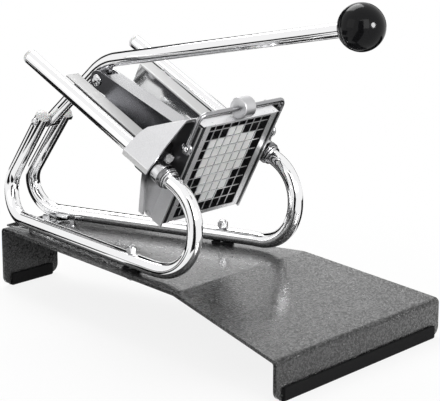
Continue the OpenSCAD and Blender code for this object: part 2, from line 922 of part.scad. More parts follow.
module pusher_block() {
    top = 3 * chip + row_shift - blade / 2 - finger_gap;
    side = 3 * chip - blade / 2 - finger_gap;
    lug_side = chip - blade / 2 - finger_gap;
    shoulder = roof_h - roof_drop - 5;
    color(white) rod_frame() difference() {
        union() {
            along_s(push_back, push_front) {
                polygon([
                    [-side, top],
                    [side, top],
                    [side, shoulder],
                    [trough_y - 0.8, shoulder - 2],
                    [trough_y - 0.8, trough_bend + 0.3],
                    [trough_floor - 0.5, -trough_depth + 0.8],
                    [-trough_floor + 0.5, -trough_depth + 0.8],
                    [-trough_y + 0.8, trough_bend + 0.3],
                    [-trough_y + 0.8, shoulder - 2],
                    [-side, shoulder]
                ]);
                translate([-lug_side, 0]) square([2 * lug_side, top + chip]);
            }
            for (c = [-3 : 2], r = [-1 : 2]) finger_at(c, r);
            for (c = [-2 : 1], r = [-3 : -2]) finger_at(c, r);
            for (c = [-1 : 0], r = [-4, 3]) finger_at(c, r);
        }
        both_sides() translate([push_back - 1, 6, -12]) rotate([0, 90, 0]) cylinder(r = 1.55, h = 9);
    }
}

module bracket_arm() {
    difference() {
        polygon([
            [bracket_s + bracket_t, -16],
            [hook_s - 4, -14],
            [hook_s - 9.5, -8],
            [hook_s - 9.5, 8],
            [bracket_s + bracket_t, 8]
        ]);
        translate([hook_s, hook_h]) {
            circle(pin_d / 2 + 0.1);
            polygon([
                [-pin_d / 2 - 0.7, 0],
                [-pin_d / 2 - 6.9, 10],
                [pin_d / 2 + 6.9, 10],
                [pin_d / 2 + 0.7, 0]
            ]);
        }
    }
}

module pusher_bracket() {
    color(steel) rod_frame() difference() {
        union() {
            translate([bracket_s, -arm_out, -16]) cube([bracket_t, 2 * arm_out, 30]);
            both_sides() along_y(arm_in, arm_out) bracket_arm();
        }
        both_sides() translate([bracket_s - 1, 6, -12]) rotate([0, 90, 0]) cylinder(r = 1.6, h = 9);
    }
}

module pusher_screws() {
    color(steel) rod_frame() both_sides() translate([bracket_s, 6, -12]) rotate([0, -90, 0]) {
        domed(2.9, 0.3, 1.3);
        translate([0, 0, -9]) cylinder(r = 1.5, h = 9 + lap / 2);
    }
}

base_plate();
rear_foot_strip();
front_foot_strip();
left_frame_tube();
right_frame_tube();
rod_end_caps();
leg_end_caps();
rear_cross_strap();
strap_bolts();
strap_nuts();
rail_pads();
rail_bolts();
rail_nuts();
trough();
trough_rivets();
head_housing();
head_sleeves();
sleeve_collars();
sleeve_rings();
clamp_screws();
blade_frame();
vertical_blades();
horizontal_blades();
bail_screws();
pivot_bolt();
pivot_nut();
lever_tube();
lever_bush();
lever_lug();
ball_knob();
link_pin();
link_pin_clip();
link();
cross_pin();
cross_pin_clips();
pusher_block();
pusher_bracket();
pusher_screws();
bail_wire();
clamp_roller();
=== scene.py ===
import json
import math

import bmesh
import bpy
import numpy as np
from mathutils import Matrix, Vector


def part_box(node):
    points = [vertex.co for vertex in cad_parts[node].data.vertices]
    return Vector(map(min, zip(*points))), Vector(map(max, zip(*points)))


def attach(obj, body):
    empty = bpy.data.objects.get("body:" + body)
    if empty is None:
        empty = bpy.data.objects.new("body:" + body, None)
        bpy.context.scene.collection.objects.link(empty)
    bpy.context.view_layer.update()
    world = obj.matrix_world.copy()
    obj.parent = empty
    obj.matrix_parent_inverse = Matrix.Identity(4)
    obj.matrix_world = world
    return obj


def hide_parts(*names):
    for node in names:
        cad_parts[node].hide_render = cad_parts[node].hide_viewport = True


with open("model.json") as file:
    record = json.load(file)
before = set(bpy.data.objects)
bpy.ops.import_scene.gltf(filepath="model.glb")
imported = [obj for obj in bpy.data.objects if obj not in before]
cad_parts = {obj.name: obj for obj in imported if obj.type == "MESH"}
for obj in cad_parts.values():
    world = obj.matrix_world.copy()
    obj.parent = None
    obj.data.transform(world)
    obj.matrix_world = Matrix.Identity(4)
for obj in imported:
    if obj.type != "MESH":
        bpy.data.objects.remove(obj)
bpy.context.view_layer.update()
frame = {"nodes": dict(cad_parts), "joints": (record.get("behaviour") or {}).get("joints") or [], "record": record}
joints = {joint["name"]: joint for joint in frame["joints"]}
mm = 0.001
print("frame loaded")

# The rods slope down to the front. The head and the trough are placed by distances along the rods, across
# them and square to them. These start at the reference, that far in front of the rear edge, where the rods'
# middle lines are that rise above the base. Swell is how far a tube's box reaches past its side.
rods = {"slope": 27.6, "reference": 150 * mm, "swell": 0.02 * mm, "tubeRadius": 7 * mm, "baseHeight": 60 * mm,
        "rise": 145.5 * mm}
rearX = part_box("base_plate")[0].x
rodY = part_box("left_frame_tube")[1].y - rods["tubeRadius"] - rods["swell"]
rodZ = rods["baseHeight"] + rods["rise"]
pivot = np.array(joints["lever_lift"]["pos_m"])
eye = np.array(joints["bail_swing"]["pos_m"])
rollerPlace = np.array(joints["roller_turn"]["pos_m"])
farAway = 1000  # millimetres, beyond every face


# Rotation about Y, which takes Z towards X. An array of angles gives an array of rotations.
def turnY(angle):
    cosine, sine = np.cos(angle), np.sin(angle)
    zero, one = np.zeros_like(cosine), np.ones_like(cosine)
    rows = [cosine, zero, sine, zero, one, zero, -sine, zero, cosine]
    return np.stack(rows, -1).reshape(np.shape(angle) + (3, 3))


# Rotation about Z, which takes X towards Y.
def turnZ(angle):
    cosine, sine = np.cos(angle), np.sin(angle)
    zero, one = np.zeros_like(cosine), np.ones_like(cosine)
    rows = [cosine, -sine, zero, sine, cosine, zero, zero, zero, one]
    return np.stack(rows, -1).reshape(np.shape(angle) + (3, 3))


rodTurn = turnY(math.radians(rods["slope"]))
rodOrigin = np.array([rearX + rods["reference"], 0, rodZ])


# Points along the rods, across, and square to them, as places in the frame.
def onRods(points):
    return np.asarray(points, float) @ rodTurn.T + rodOrigin


# The opposite of onRods.
def alongRods(point):
    return (np.asarray(point, float) - rodOrigin) @ rodTurn


# Quads between neighbouring rows and columns of a grid of points. A wrapped direction joins its last line to
# its first.
def gridFaces(rows, columns, wrapRows, wrapColumns):
    start = np.arange(rows if wrapRows else rows - 1)[:, None] * columns
    column = np.arange(columns if wrapColumns else columns - 1)[None, :]
    nextStart, nextColumn = (start + columns) % (rows * columns), (column + 1) % columns
    quads = [start + column, start + nextColumn, nextStart + nextColumn, nextStart + column]
    return np.stack(quads, -1).reshape(-1, 4)


# A grid of points (rows, columns, 3) as vertices and quads. Closed ends get a row of their middle point.
def skin(points, wrapRows=False, wrapColumns=True, closeEnds=True):
    points = np.asarray(points, float)
    if closeEnds and not wrapRows:
        first = np.repeat(points[:1].mean(1, keepdims=True), points.shape[1], 1)
        last = np.repeat(points[-1:].mean(1, keepdims=True), points.shape[1], 1)
        points = np.concatenate([first, points, last])
    return points.reshape(-1, 3), gridFaces(points.shape[0], points.shape[1], wrapRows, wrapColumns)


# A closed sheet between two grids of the same size: both faces, the long edges and the two ends.
def thickSheet(outer, inner):
    rows, columns = outer.shape[:2]
    loop = np.concatenate([outer, inner[:, ::-1]], 1)
    quads = gridFaces(rows, 2 * columns, False, True)
    at = np.arange(columns - 1)
    nearEnd = np.stack([at, at + 1, 2 * columns - 2 - at, 2 * columns - 1 - at], -1)
    farEnd = nearEnd[:, ::-1] + (rows - 1) * 2 * columns
    return loop.reshape(-1, 3), np.concatenate([quads, nearEnd, farEnd])


# Signed volume: each face's two triangles add a point times the cross product of the next two, over six.
def enclosedVolume(points, quads):
    a, b, c, d = (points[quads[:, i]] for i in range(4))
    return (np.einsum("ij,ij->i", a, np.cross(b, c)) + np.einsum("ij,ij->i", a, np.cross(c, d))).sum() / 6


# Closes poles and seams: points in one place become one point.
def weld(mesh, distance=1e-6):
    work = bmesh.new()
    work.from_mesh(mesh)
    bmesh.ops.remove_doubles(work, verts=work.verts, dist=distance)
    work.to_mesh(mesh)
    work.free()


# Rounds every edge that is sharper than the limit.
def addBevel(piece, width, segments=2, sharperThan=34):
    bevel = piece.modifiers.new("softEdges", "BEVEL")
    bevel.width = width
    bevel.segments = segments
    bevel.limit_method = "ANGLE"
    bevel.angle_limit = math.radians(sharperThan)
    bevel.harden_normals = True
    bevel.use_clamp_overlap = True


# Middle line of a bent tube, with a facing at each point. A run goes straight along the heading. A bend of
# radius R keeps that distance from its own centre: after an angle t it is R(1 - cos t) sideways and R sin t
# forwards, sideways being turned by roll.
def bentLine(start, heading, steps, turnStep=4.0):
    points, frames = [np.array(start, float)[None]], [np.array(heading, float)[None]]
    for step in steps:
        end, facing = points[-1][-1], frames[-1][-1]
        if step[0] == "run":
            points.append((end + facing[:, 2] * step[1])[None])
            frames.append(facing[None])
            continue
        _, radius, angle, roll = step
        t = np.linspace(0, math.radians(angle), max(3, int(abs(angle) / turnStep) + 2))[1:]
        rolled = facing @ turnZ(math.radians(roll))
        offset = np.stack([radius * (1 - np.cos(t)), np.zeros_like(t), radius * np.sin(t)], -1)
        points.append(end + offset @ rolled.T)
        frames.append(rolled @ turnY(t) @ turnZ(math.radians(-roll)))
    return np.concatenate(points), np.concatenate(frames)


# A circle carried along a line: each point is radius away, on the line's two cross directions.
def tubeRings(line, frames, radius, sides=40):
    around = np.linspace(0, 2 * math.pi, sides, endpoint=False)[:, None]
    ring = np.cos(around) * frames[:, None, :, 0] + np.sin(around) * frames[:, None, :, 1]
    return line[:, None] + ring * np.reshape(radius, (-1, 1, 1))


# A turned part: a profile of (distance along the axis, radius) points, carried round the axis. A closed
# profile is a ring, and an open one starts and ends on the axis.
def turned(profile, start, axis, sides=48, closed=False):
    along, radii = np.array(profile, float).T
    facing = np.array(Vector(axis).to_track_quat("Z", "Y").to_matrix())
    line = np.asarray(start, float) + along[:, None] * facing[:, 2]
    rings = tubeRings(line, np.repeat(facing[None], len(along), 0), radii, sides)
    return skin(rings, wrapRows=closed, closeEnds=False)


# A line through points with its inner corners rounded: each arc touches both neighbours.
def filletLine(points, radius, steps=5):
    points = np.array(points, float)
    made = [points[:1]]
    for before, corner, after in zip(points[:-2], points[1:-1], points[2:]):
        back, onward = before - corner, after - corner
        back, onward = back / np.linalg.norm(back), onward / np.linalg.norm(onward)
        half = math.acos(np.clip(back @ onward, -1, 1)) / 2
        middle = corner + (back + onward) / np.linalg.norm(back + onward) * radius / math.sin(half)
        start = corner + back * radius / math.tan(half)
        end = corner + onward * radius / math.tan(half)
        share = np.linspace(0, 1, steps)[:, None]
        chord = start * (1 - share) + end * share - middle
        made.append(middle + chord / np.linalg.norm(chord, axis=1, keepdims=True) * radius)
    return np.concatenate(made + [points[-1:]])


# The same line moved sideways, to the left of its direction. Corners stay square to both neighbours.
def offsetLine(line, distance):
    step = np.diff(line, axis=0)
    step /= np.linalg.norm(step, axis=1, keepdims=True)
    normal = np.stack([-step[:, 1], step[:, 0]], -1)
    before = np.concatenate([normal[:1], normal])
    after = np.concatenate([normal, normal[-1:]])
    mean = before + after
    return line + mean * distance * (2 / (mean * mean).sum(1, keepdims=True))


# A folded sheet: its section, given as (across, square to the rods), is drawn out along the rods.
def sheetAlongRods(line, thickness, stations):
    stations = np.asarray(stations, float)
    grids = []
    for section in (line, offsetLine(line, thickness)):
        grid = np.empty((len(stations), len(section), 3))
        grid[..., 0] = stations[:, None]
        grid[..., 1:] = section
        grids.append(onRods(grid))
    return thickSheet(*grids)


# A material with its tree and its shader. The settings are the shader's own inputs.
def newFinish(name, settings):
    finish = bpy.data.materials.new(name)
    finish.use_nodes = True
    shader = finish.node_tree.nodes["Principled BSDF"]
    for socket, value in settings.items():
        shader.inputs[socket].default_value = value
    return finish, finish.node_tree, shader


# A node of that kind in the tree. An input is a socket to link or a value to set.
def addNode(tree, kind, inputs=None, **settings):
    node = tree.nodes.new(kind)
    for key, value in settings.items():
        setattr(node, key, value)
    for key, value in (inputs or {}).items():
        if isinstance(value, bpy.types.NodeSocket):
            tree.links.new(value, node.inputs[key])
        else:
            node.inputs[key].default_value = value
    return node


# Object coordinates, turned and stretched.
def objectPlace(tree, stretch=(1, 1, 1), turn=(0, 0, 0)):
    coords = addNode(tree, "ShaderNodeTexCoord").outputs["Object"]
    mapping = addNode(tree, "ShaderNodeMapping", {"Vector": coords, "Scale": stretch, "Rotation": turn})
    return mapping.outputs["Vector"]


# Distances along the rods, across them and square to them, in millimetres: three sockets.
def rodPlace(tree):
    back = turnY(-math.radians(rods["slope"])) / mm
    coords = addNode(tree, "ShaderNodeTexCoord").outputs["Object"]
    level = addNode(tree, "ShaderNodeMapping", {"Vector": coords, "Scale": (1 / mm, 1 / mm, 1 / mm),
                                                "Rotation": (0, -math.radians(rods["slope"]), 0),
                                                "Location": tuple(-back @ rodOrigin)})
    return addNode(tree, "ShaderNodeSeparateXYZ", {"Vector": level.outputs["Vector"]}).outputs


# Soft noise over the coordinates. Fac is a number, and Color has three independent ones.
def noise(tree, coords, scale, detail, roughness=0.5):
    return addNode(tree, "ShaderNodeTexNoise", {"Vector": coords, "Scale": scale, "Detail": detail,
                                                "Roughness": roughness}).outputs


# One step of arithmetic on sockets or numbers.
def calc(tree, operation, first, second=0.0, third=0.0):
    return addNode(tree, "ShaderNodeMath", {0: first, 1: second, 2: third}, operation=operation).outputs[0]


# A number that goes from low to high as the factor goes from fromMin to fromMax.
def ramp(tree, factor, low, high, fromMin=0.0, fromMax=1.0):
    return addNode(tree, "ShaderNodeMapRange", {"Value": factor, "From Min": fromMin, "From Max": fromMax,
                                                "To Min": low, "To Max": high}).outputs["Result"]


# One number below a limit and another above it. It changes evenly between two distances from the limit.
def softStep(tree, value, limit, edge, below=0, above=1):
    return ramp(tree, value, below, above, limit + edge[0], limit + edge[1])


# The first colour where the factor is 0, and the second where it is 1. Either may be a socket.
def blendColours(tree, factor, first, second):
    ends = [end if isinstance(end, bpy.types.NodeSocket) else (*end, 1) for end in (first, second)]
    return addNode(tree, "ShaderNodeMix", {"Factor": factor, "A": ends[0], "B": ends[1]},
                   data_type="RGBA").outputs["Result"]


# Tilts the shading by the slope of a height that goes from 0 to 1 over the distance.
def addBump(tree, shader, height, strength, distance, socket="Normal"):
    bump = addNode(tree, "ShaderNodeBump", {"Height": height, "Strength": strength, "Distance": distance})
    tree.links.new(bump.outputs["Normal"], shader.inputs[socket])


# Grey hammered paint: round cells about 2 mm wide. The dome is 1 at a cell's middle and 0 at its joints,
# which are darker. The lacquer is thicker on the domes and where a face is seen at a low angle.
def hammeredPaint():
    paint = {"cells": 560, "roundness": 0.5, "drift": 0.0025, "driftScale": 260, "dome": (0.28, 0.62),
             "low": (0.003, 0.003, 0.0031), "high": (0.042, 0.042, 0.043), "roughness": (0.22, 0.36),
             "height": 0.4 * mm, "relief": 0.8, "shine": 0.35}
    lacquer = {"roughness": 0.14, "index": 2.8, "onDome": (0.35, 1.0), "byView": (0.05, 1, 0.36, 0.62),
               "relief": 0.1}
    finish, tree, shader = newFinish("hammeredPaint", {"Coat Roughness": lacquer["roughness"],
                                                       "Coat IOR": lacquer["index"],
                                                       "Specular IOR Level": paint["shine"]})
    coords = objectPlace(tree)
    drift = noise(tree, coords, paint["driftScale"], detail=2)
    shifted = addNode(tree, "ShaderNodeMix", {"Factor": paint["drift"], "A": coords, "B": drift["Color"]},
                      data_type="VECTOR")
    cells = addNode(tree, "ShaderNodeTexVoronoi",
                    {"Vector": shifted.outputs["Result"], "Scale": paint["cells"],
                     "Smoothness": paint["roundness"]}, feature="SMOOTH_F1")
    dome = ramp(tree, cells.outputs["Distance"], 1, 0, *paint["dome"])
    tree.links.new(blendColours(tree, dome, paint["low"], paint["high"]), shader.inputs["Base Color"])
    tree.links.new(ramp(tree, drift["Fac"], *paint["roughness"]), shader.inputs["Roughness"])
    facing = addNode(tree, "ShaderNodeLayerWeight", {"Blend": 0.5}).outputs["Facing"]
    share = calc(tree, "MULTIPLY", ramp(tree, dome, *lacquer["onDome"]),
                 ramp(tree, facing, *lacquer["byView"]))
    tree.links.new(share, shader.inputs["Coat Weight"])
    addBump(tree, shader, dome, paint["relief"], paint["height"])
    addBump(tree, shader, dome, lacquer["relief"], paint["height"], "Coat Normal")
    return finish


# Polished plate: nearly a mirror, with slow shallow waves and a faint polishing haze.
def brightChrome():
    chrome = {"colour": (0.9, 0.9, 0.905, 1), "hazeScale": 90, "roughness": (0.03, 0.09), "waveScale": 22,
              "relief": 0.25, "depth": 0.15 * mm}
    finish, tree, shader = newFinish("brightChrome", {"Metallic": 1, "Base Color": chrome["colour"]})
    coords = objectPlace(tree)
    haze = noise(tree, coords, chrome["hazeScale"], detail=4, roughness=0.6)["Fac"]
    wave = noise(tree, coords, chrome["waveScale"], detail=1)["Fac"]
    tree.links.new(ramp(tree, haze, *chrome["roughness"]), shader.inputs["Roughness"])
    addBump(tree, shader, wave, chrome["relief"], chrome["depth"])
    return finish


# Steel with fine lines along one direction: noise stretched many times along them. Slow clouds shade it.
def brushedSteel(name, colour, roughness, direction, depth=0.02 * mm):
    steel = {"lineScale": 30, "lineRange": (0.3, 0.7), "cloudScale": 14, "cloudRange": (0.35, 0.65),
             "spread": 0.1, "shade": 0.9, "relief": 0.3}
    finish, tree, shader = newFinish(name, {"Metallic": 1})
    stretched = objectPlace(tree, stretch=direction, turn=(0, -math.radians(rods["slope"]), 0))
    lines = noise(tree, stretched, steel["lineScale"], detail=6, roughness=0.7)["Fac"]
    cloud = noise(tree, objectPlace(tree), steel["cloudScale"], detail=3)["Fac"]
    cloud = ramp(tree, cloud, 0, 1, *steel["cloudRange"])
    low, high = roughness * (1 - steel["spread"]), roughness * (1 + steel["spread"])
    tree.links.new(ramp(tree, lines, low, high, *steel["lineRange"]), shader.inputs["Roughness"])
    shade = tuple(part * steel["shade"] for part in colour)
    tree.links.new(blendColours(tree, cloud, shade, colour), shader.inputs["Base Color"])
    addBump(tree, shader, lines, steel["relief"], depth)
    return finish


# Steel whose outer side faces, half its width from the middle, differ in tone from what lies between them.
def twoTone(name, side, between, half, roughness, metallic=1):
    steel = {"edge": (-0.5, -0.2), "cloudScale": 40, "spread": (0.7, 1.4), "relief": 0.15, "depth": 0.05 * mm}
    finish, tree, shader = newFinish(name, {"Metallic": metallic})
    across = calc(tree, "ABSOLUTE", rodPlace(tree)[1])
    cloud = noise(tree, objectPlace(tree), steel["cloudScale"], detail=4)["Fac"]
    outside = softStep(tree, across, half, steel["edge"])
    tree.links.new(blendColours(tree, outside, between, side), shader.inputs["Base Color"])
    low, high = (roughness * part for part in steel["spread"])
    tree.links.new(ramp(tree, cloud, low, high), shader.inputs["Roughness"])
    addBump(tree, shader, cloud, steel["relief"], steel["depth"])
    return finish


# Makes what lies above a height, square to the rods in millimetres, duller and greyer than the rest.
def satinAbove(finish, height, roughness, grey, edge=(-0.2, 0.2)):
    tree = finish.node_tree
    shader = tree.nodes["Principled BSDF"]
    above = softStep(tree, rodPlace(tree)[2], height, edge)
    before = {socket: shader.inputs[socket].links[0].from_socket for socket in ("Roughness", "Base Color")}
    dull = addNode(tree, "ShaderNodeMix", {"Factor": above, "A": before["Roughness"], "B": roughness})
    tree.links.new(dull.outputs["Result"], shader.inputs["Roughness"])
    tint = blendColours(tree, above, before["Base Color"], (grey, grey, grey))
    tree.links.new(tint, shader.inputs["Base Color"])
    return finish


# Steel with painted light and shade: it is pale on its front face and on top, as painted light, and dark in its
# depths and on its sides, as painted shade. Front, half and top are where the faces lie, in millimetres along
# the rods, across and square to them. Lip is the pale depth behind the front face, before the painted shade.
def paintedShadeSteel(name, front, lip, half=farAway, top=farAway):
    steel = {"paintedShade": (0.035, 0.035, 0.037), "pale": (0.85, 0.85, 0.86), "metallic": 0.7, "edge": (-0.1, 0.1),
             "topEdge": (-0.4, -0.2), "grainScale": 500, "roughness": (0.22, 0.38), "relief": 0.15,
             "depth": 0.02 * mm}
    finish, tree, shader = newFinish(name, {"Metallic": steel["metallic"]})
    along, across, up = rodPlace(tree)
    grain = noise(tree, objectPlace(tree), steel["grainScale"], detail=4)["Fac"]
    inFront = softStep(tree, along, front - lip, steel["edge"])
    between = softStep(tree, calc(tree, "ABSOLUTE", across), half, steel["edge"], 1, 0)
    onTop = softStep(tree, up, top, steel["topEdge"])
    face = calc(tree, "MAXIMUM", calc(tree, "MULTIPLY", inFront, between), onTop)
    # The pale front faces and top are painted light, and the dark depths and sides are painted shade.
    tree.links.new(blendColours(tree, face, steel["paintedShade"], steel["pale"]), shader.inputs["Base Color"])
    tree.links.new(ramp(tree, grain, *steel["roughness"]), shader.inputs["Roughness"])
    addBump(tree, shader, grain, steel["relief"], steel["depth"])
    return finish


# Tumbled light casting: a fine soft grain under a satin shine, with painted shade inside the hood. A point is
# inside when it is below the roof line and nearer the middle than the leaning sides, each by about the wall's
# thickness. The hem is the upright strip along the hood's lower edge, and its lighter colour is painted light that
# stands for the shading of a smoothly rounded side.
def satinCasting():
    casting = {"dark": (0.07, 0.07, 0.073), "shade": (0.58, 0.58, 0.59), "light": (0.66, 0.66, 0.67),
               "hem": (0.97, 0.97, 0.97), "metallic": 0.85, "grainScale": 900, "grainRange": (0.3, 0.7),
               "cloudScale": 18, "roughness": (0.3, 0.42), "relief": 0.35, "depth": 0.05 * mm}
    roof = {"rise": 0.872, "start": 29 - 80 * 0.872}  # height over distance, and the height where that is 0
    low, knee, top = (81.9, 1.6), (72.9, 28.0), (64.4, 48.8)  # the hood's side, from its hem up: across, up
    wall, floor, front = 2.2, -14, 117.5
    edges = {"roof": (0.6, 1.2), "side": (-0.3, 0), "floor": (-6, 4), "front": (0, 0.3),
             "hemTop": (-0.6, 0.9), "hemSide": (-0.6, -0.3)}
    finish, tree, shader = newFinish("satinCasting", {"Metallic": casting["metallic"]})
    coords = objectPlace(tree)
    grain = noise(tree, coords, casting["grainScale"], detail=3, roughness=0.6)["Fac"]
    cloud = noise(tree, coords, casting["cloudScale"], detail=3)["Fac"]
    along, across, up = rodPlace(tree)
    side = calc(tree, "ABSOLUTE", across)
    roofHeight = calc(tree, "MULTIPLY_ADD", along, roof["rise"], roof["start"])
    # Inside is the mask of the painted shade in the hood.
    inside = softStep(tree, calc(tree, "SUBTRACT", roofHeight, up), wall, edges["roof"])
    for foot, head in ((low, knee), (knee, top)):
        lean = (head[0] - foot[0]) / (head[1] - foot[1])
        edge = calc(tree, "MULTIPLY_ADD", up, lean, foot[0] - foot[1] * lean)
        within = softStep(tree, calc(tree, "SUBTRACT", edge, side), wall, edges["side"])
        inside = calc(tree, "MULTIPLY", inside, within)
    inside = calc(tree, "MULTIPLY", inside, softStep(tree, up, floor, edges["floor"]))
    inside = calc(tree, "MULTIPLY", inside, softStep(tree, along, front, edges["front"], 1, 0))
    tree.links.new(ramp(tree, cloud, *casting["roughness"]), shader.inputs["Roughness"])
    # The hem mask: where the painted light goes.
    hem = calc(tree, "MULTIPLY", softStep(tree, up, low[1], edges["hemTop"], 1, 0),
               softStep(tree, side, low[0], edges["hemSide"]))
    fleck = ramp(tree, grain, 0, 1, *casting["grainRange"])
    pale = blendColours(tree, fleck, casting["shade"], casting["light"])
    pale = blendColours(tree, hem, pale, casting["hem"])
    # Painted shade inside the hood, over the grain and the painted light of the hem.
    tree.links.new(blendColours(tree, inside, pale, casting["dark"]), shader.inputs["Base Color"])
    addBump(tree, shader, grain, casting["relief"], casting["depth"])
    return finish


# Black moulded rubber with a fine matt grain.
def rubber():
    moulding = {"low": (0.006, 0.006, 0.006), "high": (0.022, 0.022, 0.023), "shine": 0.04,
                "grainScale": 1100, "roughness": (0.5, 0.72), "relief": 0.4, "depth": 0.06 * mm}
    finish, tree, shader = newFinish("rubber", {"Specular IOR Level": moulding["shine"]})
    grain = noise(tree, objectPlace(tree), moulding["grainScale"], detail=4)["Fac"]
    tree.links.new(ramp(tree, grain, *moulding["roughness"]), shader.inputs["Roughness"])
    tree.links.new(blendColours(tree, grain, moulding["low"], moulding["high"]), shader.inputs["Base Color"])
    addBump(tree, shader, grain, moulding["relief"], moulding["depth"])
    return finish


# Black moulded plastic, polished, with slow unevenness in its shine.
def glossyBlack():
    knob = {"low": (0.004, 0.004, 0.0045), "high": (0.009, 0.009, 0.01), "shine": 0.15, "hazeScale": 60,
            "roughness": (0.07, 0.15), "relief": 0.1, "depth": 0.05 * mm}
    finish, tree, shader = newFinish("glossyBlack", {"Specular IOR Level": knob["shine"]})
    haze = noise(tree, objectPlace(tree), knob["hazeScale"], detail=4)["Fac"]
    tree.links.new(ramp(tree, haze, *knob["roughness"]), shader.inputs["Roughness"])
    tree.links.new(blendColours(tree, haze, knob["low"], knob["high"]), shader.inputs["Base Color"])
    addBump(tree, shader, haze, knob["relief"], knob["depth"])
    return finish


# Moulded pale plastic: faint flow marks and a fine grain.
def palePlastic(name, low, high, roughness):
    plastic = {"glow": 0.05, "glowDepth": 2 * mm, "flowScale": 40, "flowRange": (0.3, 0.7),
               "grainScale": 1300, "spread": 0.15, "relief": 0.25, "depth": 0.03 * mm}
    finish, tree, shader = newFinish(name, {"Subsurface Weight": plastic["glow"],
                                            "Subsurface Scale": plastic["glowDepth"]})
    coords = objectPlace(tree)
    flow = ramp(tree, noise(tree, coords, plastic["flowScale"], detail=3)["Fac"], 0, 1, *plastic["flowRange"])
    grain = noise(tree, coords, plastic["grainScale"], detail=2)["Fac"]
    tree.links.new(blendColours(tree, flow, low, high), shader.inputs["Base Color"])
    smooth, rough = roughness * (1 - plastic["spread"]), roughness * (1 + plastic["spread"])
    tree.links.new(ramp(tree, grain, smooth, rough), shader.inputs["Roughness"])
    addBump(tree, shader, grain, plastic["relief"], plastic["depth"])
    return finish


# The grid's front and top faces lie this far out, in millimetres. Side is the width of the frame's sides,
# which get painted shade, and each lip is the depth that stays pale before the painted shade begins.
grid = {"front": 118.1, "top": 51.1, "side": 3.2, "frameLip": 0.5, "bladesBehind": 1.6, "bladeLip": 0.6}
paleHalf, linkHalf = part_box("blade_frame")[1].y / mm - grid["side"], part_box("link")[1].y / mm
bladeFront = grid["front"] - grid["bladesBehind"]
# The finish of each material slot. Brushed steel: name, colour, roughness, stretch of its lines, their depth.
# Plastic: name, darker colour, lighter colour, roughness.
foldedSteel = brushedSteel("foldedSteel", (0.76, 0.765, 0.77), 0.13, (1.5, 40, 40), 0.003 * mm)
finishes = {
    "hammered_paint": hammeredPaint(),
    "strip_rubber": rubber(),
    "bright_tube": brightChrome(),
    "cap_plastic": palePlastic("capPlastic", (0.78, 0.78, 0.77), (0.86, 0.86, 0.85), 0.3),
    "folded_steel": satinAbove(foldedSteel, height=0.5, roughness=0.4, grey=0.42),
    "bolt_steel": brushedSteel("boltSteel", (0.66, 0.66, 0.67), 0.16, (12, 12, 12)),
    "head_casting": satinCasting(),
    "dark_steel": brushedSteel("darkSteel", (0.42, 0.42, 0.435), 0.2, (1.5, 40, 40)),
    # The frame and the blades carry painted shade on their sides and in the grid's depths.
    "frame_steel": paintedShadeSteel("frameSteel", grid["front"], grid["frameLip"], paleHalf, grid["top"]),
    "blade_steel": paintedShadeSteel("bladeSteel", bladeFront, grid["bladeLip"]),
    "knob_plastic": glossyBlack(),
    "pusher_plastic": palePlastic("pusherPlastic", (0.88, 0.88, 0.87), (0.94, 0.94, 0.93), 0.4),
    "roller_alloy": brushedSteel("rollerAlloy", (0.55, 0.55, 0.56), 0.3, (20, 2, 20)),
}
# Nodes whose finish differs from that of their slot. Two-tone steel: name, colour of the sides, colour
# between them, half width, roughness, metallic share. The link's dark sides are painted shade.
ownFinishes = {
    # Painted shade on the link's sides; the colour between them is the steel's own.
    "link": twoTone("linkSteel", (0.075, 0.075, 0.08), (0.5, 0.5, 0.51), linkHalf, 0.2),
    "bail_wire": brushedSteel("wireSteel", (0.36, 0.36, 0.37), 0.24, (20, 20, 20)),
    "clamp_screws": twoTone("screwSteel", (0.9, 0.9, 0.9), (0.95, 0.95, 0.95), farAway, 0.2, 0.35),
    "rail_pads": finishes["strip_rubber"],
    "head_sleeves": brushedSteel("sleeveSteel", (0.6, 0.6, 0.61), 0.22, (12, 40, 12)),
    "sleeve_collars": brushedSteel("collarSteel", (0.2, 0.2, 0.205), 0.2, (12, 40, 12)),
}
slotOf = {row["node"]: row["material_slot"] for row in frame["record"]["subparts"]}


# The finish of a CAD node: its own, or that of its slot.
def finishOf(node):
    return ownFinishes.get(node, finishes[slotOf[node]])


for nodeName, node in frame["nodes"].items():
    node.data.materials.clear()
    node.data.materials.append(finishOf(nodeName))
print("finishes made")


# Joins closed surfaces, each with its faces outwards, into one mesh that stands for a CAD node on its body.
# Edges sharper than that many degrees are shaded sharp.
def standFor(node, name, parts, body, bevel=0, sharp=32):
    points, faces, count = [], [], 0
    for vertices, quads in parts:
        if enclosedVolume(vertices, quads) < 0:
            quads = quads[:, ::-1]
        points.append(vertices)
        faces.append(quads + count)
        count += len(vertices)
    mesh = bpy.data.meshes.new(name)
    mesh.from_pydata(np.concatenate(points), [], np.concatenate(faces).tolist())
    weld(mesh)
    mesh.shade_smooth()
    mesh.set_sharp_from_angle(angle=math.radians(sharp))
    mesh.materials.append(finishOf(node))
    piece = bpy.data.objects.new(name, mesh)
    bpy.context.scene.collection.objects.link(piece)
    if bevel:
        addBevel(piece, bevel)
    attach(piece, body)
    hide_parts(node)


